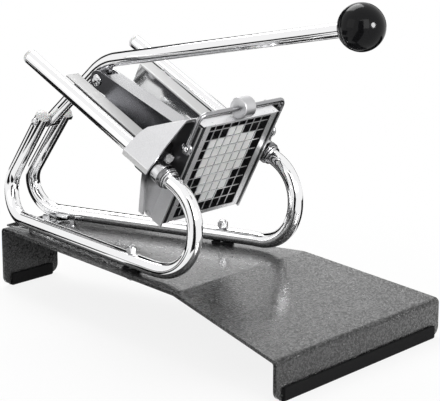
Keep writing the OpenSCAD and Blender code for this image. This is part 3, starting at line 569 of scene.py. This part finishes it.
# The sheet's outer face is a line in the side view: flange, bend, level, fold, slope, bend, flange. Each
# point of it is spread across the width, which grows evenly towards the front. The low corners follow a
# circle.
def basePlate():
    plate = {"length": 410 * mm, "flat": 278 * mm, "height": rods["baseHeight"], "frontHeight": 35 * mm,
             "rearHalf": 35.5 * mm, "frontHalf": 114.6 * mm, "sheet": 3 * mm, "bend": 5 * mm, "fold": 14 * mm,
             "low": 2 * mm, "corner": 8 * mm, "edge": 0.7 * mm}
    count = {"bend": 9, "fold": 5, "level": 14, "slope": 8, "corner": 8, "across": 15}
    corners = [(0, plate["low"]), (0, plate["height"]), (plate["flat"], plate["height"]),
               (plate["length"], plate["frontHeight"]), (plate["length"], plate["low"])]
    rear = filletLine(corners[:3], plate["bend"], count["bend"])[1:-1]
    fold = filletLine(corners[1:4], plate["fold"], count["fold"])[1:-1]
    front = filletLine(corners[2:], plate["bend"], count["bend"])[1:-1]
    level = np.linspace(rear[-1], fold[0], count["level"])[1:-1]
    down = np.linspace(fold[-1], front[0], count["slope"])[1:-1]
    quarter = np.linspace(0, math.pi / 2, count["corner"])
    rise = plate["low"] + plate["corner"] * (1 - np.cos(quarter))
    up = np.stack([np.zeros_like(rise), rise], -1)
    drop = np.stack([np.full_like(rise, plate["length"]), rise[::-1]], -1)
    outer = np.concatenate([up, rear, level, fold, down, front, drop])
    inner = offsetLine(outer, -plate["sheet"])
    half = plate["rearHalf"] + (plate["frontHalf"] - plate["rearHalf"]) * outer[:, 0] / plate["length"]
    below = np.clip(plate["corner"] - (outer[:, 1] - plate["low"]), 0, plate["corner"])
    half = half - (plate["corner"] - np.sqrt(plate["corner"] ** 2 - below ** 2))
    grids = []
    for line in (outer, inner):
        grid = np.empty((len(outer), count["across"], 3))
        grid[..., 0] = rearX + line[:, :1]
        grid[..., 1] = half[:, None] * np.linspace(-1, 1, count["across"])
        grid[..., 2] = line[:, 1:]
        grids.append(grid)
    standFor("base_plate", "basePlate", [thickSheet(*grids)], "frame", bevel=plate["edge"], sharp=40)


basePlate()
print("base made")


# Each side is one tube: upper rod, front loop, rail on the base, rear bend and the leg up to the lever. The
# rail turns inwards in plan by the angle that brings the leg's top to the side of the lever's bush.
def sideTubes():
    tube = {"tail": 72 * mm, "reach": 283.6 * mm, "loop": 40 * mm, "rearBend": 29 * mm, "leg": 71 * mm,
            "legTop": 6 * mm, "legAngle": 54.7, "lean": 7.1, "planBend": 60 * mm, "pad": 1.8 * mm,
            "rearX": -7.8 * mm, "bushGap": 0.5 * mm, "spare": 0.5 * mm, "loopFoot": 1 * mm}
    firstCos, firstSin = 0.979, 0.203  # first estimate of the rail's turn in plan
    radius = rods["tubeRadius"]
    slope = math.radians(rods["slope"])
    railZ = rods["baseHeight"] + tube["pad"] + radius
    tangent = tube["loop"] * math.tan((math.pi / 2 - slope) / 2)
    ahead = tube["reach"] - rods["reference"]
    room = rodZ - math.tan(slope) * ahead - tangent - railZ
    low = min(tube["loop"] + tube["spare"], room - tube["spare"])
    rodRun = (ahead - tangent * math.cos(slope)) / math.cos(slope) + tube["tail"]

    leg, lean = math.radians(tube["legAngle"]), math.radians(tube["lean"])
    legRun = tube["leg"] - tube["legTop"]
    legUp = tube["rearBend"] * (1 + math.cos(leg)) + legRun * math.sin(leg)
    legSide = legUp * math.sin(lean)
    legAhead = tube["rearBend"] * (1 - math.sin(leg)) + legRun * math.cos(leg)
    railX = tube["reach"] - low - tube["loopFoot"]
    aimX = railX - (tube["rearX"] + legAhead * firstCos + legSide * firstSin)
    aimY = abs(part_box("lever_bush")[1].y) + tube["bushGap"] + radius - rodY + tube["planBend"]
    turn = math.asin((tube["planBend"] - legSide) / math.hypot(aimX, aimY)) - math.atan2(aimY, aimX)
    railRun = (railX - tube["planBend"] * math.sin(turn) - tube["rearX"]) / math.cos(turn) - tube["rearBend"]

    steps = [("run", rodRun), ("bend", tube["loop"], 90 - rods["slope"], 0), ("run", room - low),
             ("bend", low, 90, 0), ("run", tube["loopFoot"]),
             ("bend", tube["planBend"], math.degrees(turn), -90), ("run", railRun),
             ("bend", tube["rearBend"], 180 - tube["legAngle"], -tube["lean"]), ("run", tube["leg"])]
    start = onRods([-tube["tail"], rodY, 0])
    line, frames = bentLine(start, rodTurn @ turnY(math.pi / 2), steps)
    rings = tubeRings(line, frames, radius)
    mirror = np.array([1, -1, 1])
    standFor("left_frame_tube", "leftTube", [skin(rings)], "frame")
    standFor("right_frame_tube", "rightTube", [skin(rings * mirror)], "frame")
    endCaps("rod_end_caps", "rodCaps", line[0], -frames[0][:, 2], mirror)
    endCaps("leg_end_caps", "legCaps", line[-1], frames[-1][:, 2], mirror)


# A plug in the bore, a short rim and a dome: a quarter of an ellipse, turned.
def endCaps(node, name, tip, outward, mirror):
    cap = {"plug": 8.5 * mm, "wall": 1.6 * mm, "edgeAlong": 0.2 * mm, "edgeIn": 0.1 * mm, "rim": 1.4 * mm,
           "dome": 4.1 * mm, "steps": 9}
    radius = rods["tubeRadius"]
    bore = radius - cap["wall"]
    quarter = np.linspace(0, math.pi / 2, cap["steps"])
    profile = [(-cap["plug"], 0), (-cap["plug"], bore), (0, bore), (0, radius - cap["edgeIn"]),
               (cap["edgeAlong"], radius)]
    profile += list(zip(cap["rim"] + cap["dome"] * np.sin(quarter), radius * np.cos(quarter)))
    caps = [turned(profile, tip * flip, outward * flip) for flip in (np.ones(3), mirror)]
    standFor(node, name, caps, "frame")


# Hand lever: lower arm, one bend, long arm into the ball.
def leverTube():
    lever = {"lowArm": 97.9 * mm, "lowAngle": 40.8, "longArm": 296.7 * mm, "longAngle": 10.65,
             "radius": 6.5 * mm, "bend": 60 * mm, "intoBall": 6 * mm, "turnStep": 2.5}
    turn = lever["lowAngle"] - lever["longAngle"]
    tangent = lever["bend"] * math.tan(math.radians(turn) / 2)
    steps = [("run", lever["lowArm"] - tangent), ("bend", lever["bend"], turn, 0),
             ("run", lever["longArm"] - tangent - lever["intoBall"])]
    heading = turnY(math.radians(90 - lever["lowAngle"]))
    line, frames = bentLine(pivot, heading, steps, lever["turnStep"])
    standFor("lever_tube", "leverTube", [skin(tubeRings(line, frames, lever["radius"]))], "lever")
    return frames[-1][:, 2]


# A sphere with a flat face at the lever. At the angle grooveAt from its far pole, in radians, the radius
# falls by a narrow bell curve, where the two mould halves meet.
def ballKnob(direction):
    ball = {"radius": 20 * mm, "flat": 7.6 * mm, "groove": 0.35 * mm, "grooveAt": 1.95, "grooveWidth": 0.035,
            "rings": 61, "sides": 96}
    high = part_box("ball_knob")[1]
    middle = np.array([high.x - ball["radius"], 0, high.z - ball["radius"]])
    lastAngle = math.pi - math.asin(ball["flat"] / ball["radius"])
    around = np.linspace(0, 2 * math.pi, ball["sides"], endpoint=False)
    around, down = np.meshgrid(around, np.linspace(0, lastAngle, ball["rings"]))
    facing = np.array(Vector(direction).to_track_quat("Z", "Y").to_matrix())
    depth = ball["groove"] * np.exp(-((down - ball["grooveAt"]) / ball["grooveWidth"]) ** 2)
    radius = ball["radius"] - depth
    level = radius * np.sin(down)
    local = np.stack([level * np.cos(around), level * np.sin(around), radius * np.cos(down)], -1)
    standFor("ball_knob", "ballKnob", [skin(middle + local @ facing.T)], "lever", sharp=60)


sideTubes()
ballKnob(leverTube())
print("tubes made")


# One folded sheet: floor, two leaning sides, two upright sides and a level edge on each. The edges end at the
# head, and the rest runs on into it.
def foldedTrough():
    trough = {"half": 39.79 * mm, "sheet": 1.2 * mm, "bend": 18 * mm, "floor": 14 * mm, "depth": 45 * mm,
              "edge": 15.6 * mm, "top": 2 * mm, "rear": -37 * mm, "flangeEnd": 79.5 * mm, "front": 104.1 * mm,
              "fold": 1.6 * mm, "soft": 0.25 * mm}
    half, top, bend = trough["half"], trough["top"], trough["bend"]
    floor, depth, edge = trough["floor"], trough["depth"], trough["edge"]
    walls = [(-half, top), (-half, -bend), (-floor, -depth), (floor, -depth), (half, -bend), (half, top)]
    full = [(-half - edge, top)] + walls + [(half + edge, top)]
    parts = [sheetAlongRods(filletLine(full, trough["fold"]), -trough["sheet"],
                            [trough["rear"], trough["flangeEnd"]]),
             sheetAlongRods(filletLine(walls, trough["fold"]), -trough["sheet"],
                            [trough["flangeEnd"], trough["front"]])]
    standFor("trough", "foldedTrough", parts, "frame", bevel=trough["soft"])


foldedTrough()
print("trough made")


# Wire bail: up one side, across between two bends and down the other side, with a ring at each end for its
# screw.
def bail():
    wire = {"radius": 2.1 * mm, "eye": 3.75 * mm, "bend": 7 * mm, "turnStep": 9, "sides": 24, "eyeSteps": 40,
            "eyeSides": 20}
    eyeAlong, _, eyeUp = alongRods(eye)
    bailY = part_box("bail_wire")[1].y - wire["radius"]
    side = ("run", alongRods(rollerPlace)[2] - eyeUp - wire["eye"] - wire["bend"])
    corner = ("bend", wire["bend"], 90, 0)
    steps = [side, corner, ("run", 2 * (bailY - wire["bend"])), corner, side]
    start = onRods([eyeAlong, bailY, eyeUp + wire["eye"]])
    line, frames = bentLine(start, rodTurn @ turnZ(-math.pi / 2), steps, wire["turnStep"])
    parts = [skin(tubeRings(line, frames, wire["radius"], wire["sides"]))]
    facing = rodTurn @ turnY(np.linspace(0, 2 * math.pi, wire["eyeSteps"], endpoint=False))
    crossways = np.stack([facing[:, :, 2], facing[:, :, 1], facing[:, :, 0]], -1)
    for y in (-bailY, bailY):
        ring = onRods([eyeAlong, y, eyeUp]) + facing[:, :, 2] * wire["eye"]
        parts.append(skin(tubeRings(ring, crossways, wire["radius"], wire["eyeSides"]), wrapRows=True))
    standFor("bail_wire", "bailWire", parts, "bail")
    return eyeAlong, wire["radius"]


# Turned roller: a closed profile with rounded rims, carried round the bail's bar.
def clampRoller(along, wireRadius):
    roller = {"radius": 9.3 * mm, "width": 14 * mm, "shift": 0.8 * mm, "boreGap": 0.1 * mm, "sides": 64,
              "rim": [(0, 1.0 * mm), (0.25 * mm, 0.35 * mm), (0.8 * mm, 0)]}
    width, bore = roller["width"], wireRadius + roller["boreGap"]
    profile = [(0, bore)] + [(inwards, roller["radius"] - down) for inwards, down in roller["rim"]]
    profile += [(width - inwards, roller["radius"] - down) for inwards, down in reversed(roller["rim"])]
    profile += [(width, bore)]
    start = onRods([along, -roller["shift"] - width / 2, alongRods(rollerPlace)[2]])
    parts = [turned(profile, start, (0, 1, 0), roller["sides"], closed=True)]
    standFor("clamp_roller", "clampRoller", parts, "roller")


clampRoller(*bail())
print("clamp made")


# CAD nodes that stay get their coplanar triangles joined and a small bevel, in millimetres, on their edges.
def softenNodes():
    widths = {"head_housing": 0.45, "blade_frame": 0.35, "link": 0.4, "pusher_block": 0.35,
              "pusher_bracket": 0.3, "rear_foot_strip": 0.4, "front_foot_strip": 0.4, "rear_cross_strap": 0.2,
              "rail_pads": 0.2, "head_sleeves": 0.4, "sleeve_collars": 0.4, "sleeve_rings": 0.3,
              "trough_rivets": 0.15, "bail_screws": 0.2, "pivot_bolt": 0.2, "pivot_nut": 0.3,
              "strap_nuts": 0.3, "rail_nuts": 0.3, "lever_bush": 0.3, "lever_lug": 0.5, "link_pin": 0.3,
              "link_pin_clip": 0.2, "cross_pin": 0.4, "cross_pin_clips": 0.2, "pusher_screws": 0.2}
    together, flatWithin = 1e-6, 0.6
    for name, width in widths.items():
        node = frame["nodes"][name]
        join = node.modifiers.new("join", "WELD")
        join.merge_threshold = together
        flat = node.modifiers.new("flat", "DECIMATE")
        flat.decimate_type = "DISSOLVE"
        flat.angle_limit = math.radians(flatWithin)
        addBevel(node, width * mm)


softenNodes()
print("edges softened")

# The camera's turn from the right side towards the front and its height angle, in degrees, its lens and
# sensor in millimetres, and its place, measured from the floor under the middle of the base's rear edge. The
# middle is the point that the felt cards hang round.
view = {"azimuth": 41.008, "elevation": 13.324, "lens": 130.1, "sensor": 36, "nearest": 0.05, "farthest": 50,
        "place": (1150.10 * mm, -1032.43 * mm, 443.92 * mm), "middle": (0, 0, 0.15)}
tilt, swing = math.radians(view["elevation"]), math.radians(view["azimuth"])
backward = np.array([math.sin(swing) * math.cos(tilt), -math.cos(swing) * math.cos(tilt), math.sin(tilt)])
rightward = np.array([math.cos(swing), math.sin(swing), 0])
upward = np.cross(backward, rightward)


# 1 for what the eye sees directly, in a mirror or through glass, and 0 for what lights other surfaces.
def seenBy(tree):
    ray = addNode(tree, "ShaderNodeLightPath").outputs
    return calc(tree, "MAXIMUM", calc(tree, "MAXIMUM", ray["Is Camera Ray"], ray["Is Glossy Ray"]),
                ray["Is Transmission Ray"])


# White paper. What is seen of it turns into plain white between two distances from the middle, near and far.
# Nearer than that it keeps a part of the shadow.
def studioFloor():
    paper = {"half": 6, "near": 0.15, "far": 0.5, "whiteNear": 0.85, "tone": (0.93, 0.93, 0.93, 1),
             "roughness": 0.9, "shine": 0.1}
    half = paper["half"]
    sheet = bpy.data.meshes.new("floor")
    sheet.from_pydata([(-half, -half, 0), (half, -half, 0), (half, half, 0), (-half, half, 0)], [],
                      [(0, 1, 2, 3)])
    ground = bpy.data.objects.new("floor", sheet)
    bpy.context.scene.collection.objects.link(ground)
    finish, tree, shader = newFinish("paper", {"Base Color": paper["tone"], "Roughness": paper["roughness"],
                                               "Specular IOR Level": paper["shine"]})
    coords = addNode(tree, "ShaderNodeTexCoord").outputs["Object"]
    away = addNode(tree, "ShaderNodeVectorMath", {0: coords}, operation="LENGTH").outputs["Value"]
    share = calc(tree, "MULTIPLY", ramp(tree, away, paper["whiteNear"], 1, paper["near"], paper["far"]),
                 seenBy(tree))
    white = addNode(tree, "ShaderNodeEmission", {"Color": (1, 1, 1, 1), "Strength": 1.0})
    mix = addNode(tree, "ShaderNodeMixShader", {0: share, 1: shader.outputs["BSDF"],
                                                2: white.outputs["Emission"]})
    tree.links.new(mix.outputs["Shader"], tree.nodes["Material Output"].inputs["Surface"])
    sheet.materials.append(finish)


# Black felt that shows only in mirrors. A hung card is a patch of directions: off degrees away from the line
# of sight, at a clock angle round it, on a sphere of that radius. A laid card is a patch of the floor: a
# bearing from the eye's side, and a distance. A standing card has a bearing, heights and one distance.
def feltCards():
    hung = {"leftSky": ((30, 62), (112, 178), 2.6), "rightSide": ((18, 40), (-8, 62), 2.6),
            "edgeSky": ((20, 56), (100, 130), 1.3)}
    laid = {"underEye": ((-17, 14), (0.22, 1.5)), "behind": ((150, 215), (0.12, 0.75)),
            "backLeft": ((95, 150), (0.2, 0.75)), "backRight": ((-145, -100), (0.3, 0.75)),
            "besideEye": ((-100, -64), (0.45, 1.3)), "besideRail": ((-92, -50), (0.13, 0.32))}
    standing = {"eyeWall": ((-13, 10), (0.004, 1.3), 1.5)}
    lift, rows, coarse, fine = 4 * mm, 3, 9, 25
    black = {"Base Color": (0.01, 0.01, 0.01, 1), "Roughness": 1, "Specular IOR Level": 0}
    felt = newFinish("felt", black)[0]
    grids = {}
    for name, (offs, clock, radius) in hung.items():
        off = np.radians(np.linspace(*offs, coarse))[:, None, None]
        turn = np.radians(np.linspace(*clock, fine))[None, :, None]
        aim = -np.cos(off) * backward + np.sin(off) * (np.cos(turn) * rightward + np.sin(turn) * upward)
        grids[name] = np.array(view["middle"]) + aim * radius
    for name, (bearings, reach) in laid.items():
        bearing = np.radians(np.linspace(*bearings, fine)) + swing - math.pi / 2
        bearing, away = np.meshgrid(bearing, np.linspace(*reach, rows))
        grids[name] = np.stack([away * np.cos(bearing), away * np.sin(bearing), np.full_like(away, lift)], -1)
    for name, (bearings, heights, away) in standing.items():
        bearing = np.radians(np.linspace(*bearings, coarse)) + swing - math.pi / 2
        bearing, high = np.meshgrid(bearing, np.linspace(*heights, coarse))
        grids[name] = np.stack([away * np.cos(bearing), away * np.sin(bearing), high], -1)
    for name, points in grids.items():
        vertices, quads = skin(points, wrapColumns=False, closeEnds=False)
        card = bpy.data.meshes.new(name + "Card")
        card.from_pydata(vertices, [], quads.tolist())
        card.materials.append(felt)
        flag = bpy.data.objects.new(name + "Card", card)
        bpy.context.scene.collection.objects.link(flag)
        flag.visible_camera = False
        flag.visible_shadow = False
        flag.visible_diffuse = False


# Soft lamps: the place, the size, the power, and whether a lamp only shines in mirrors. The spark is the
# ball's highlight, off degrees away from the line of sight.
def lights():
    spark = {"off": 50, "right": 0.985, "up": 0.174, "away": 1.5, "size": 0.45, "power": 28}
    off = math.radians(spark["off"])
    sparkAim = math.cos(off) * backward + math.sin(off) * (spark["right"] * rightward + spark["up"] * upward)
    sparkPlace = tuple(np.array(view["middle"]) + spark["away"] * sparkAim)
    lamps = {"key": ((-1.0, 0.6, 1.9), 1.4, 36, False), "front": ((1.6, -1.1, 1.0), 1.4, 15, False),
             "side": ((-0.5, -1.9, 1.0), 1.4, 3, False),
             "spark": (sparkPlace, spark["size"], spark["power"], True)}
    target, worldLight = Vector((0, 0, 0.12)), 0.3
    for name, (where, size, power, mirrorsOnly) in lamps.items():
        lamp = bpy.data.lights.new(name, "AREA")
        lamp.shape = "DISK" if mirrorsOnly else "SQUARE"
        lamp.size = size
        lamp.energy = power
        light = bpy.data.objects.new(name, lamp)
        light.location = where
        light.rotation_euler = (target - Vector(where)).to_track_quat("-Z", "Y").to_euler()
        light.visible_diffuse = not mirrorsOnly
        bpy.context.scene.collection.objects.link(light)
    world = bpy.data.worlds.new("studio")
    world.use_nodes = True
    bpy.context.scene.world = world
    tree = world.node_tree
    surface = tree.nodes["Background"]
    surface.inputs["Color"].default_value = (1, 1, 1, 1)
    tree.links.new(ramp(tree, seenBy(tree), worldLight, 1.0), surface.inputs["Strength"])


# The camera looks along the line of sight from its place.
def camera():
    data = bpy.data.cameras.new("camera")
    data.lens = view["lens"]
    data.sensor_width = view["sensor"]
    data.sensor_fit = "HORIZONTAL"
    data.clip_start, data.clip_end = view["nearest"], view["farthest"]
    stand = bpy.data.objects.new("camera", data)
    stand.location = Vector(view["place"]) + Vector((rearX, 0, 0))
    stand.rotation_euler = Vector(-backward).to_track_quat("-Z", "Y").to_euler()
    bpy.context.scene.collection.objects.link(stand)
    bpy.context.scene.camera = stand


studioFloor()
feltCards()
lights()
camera()
bpy.context.scene.view_settings.view_transform = "Standard"
print("stage set")
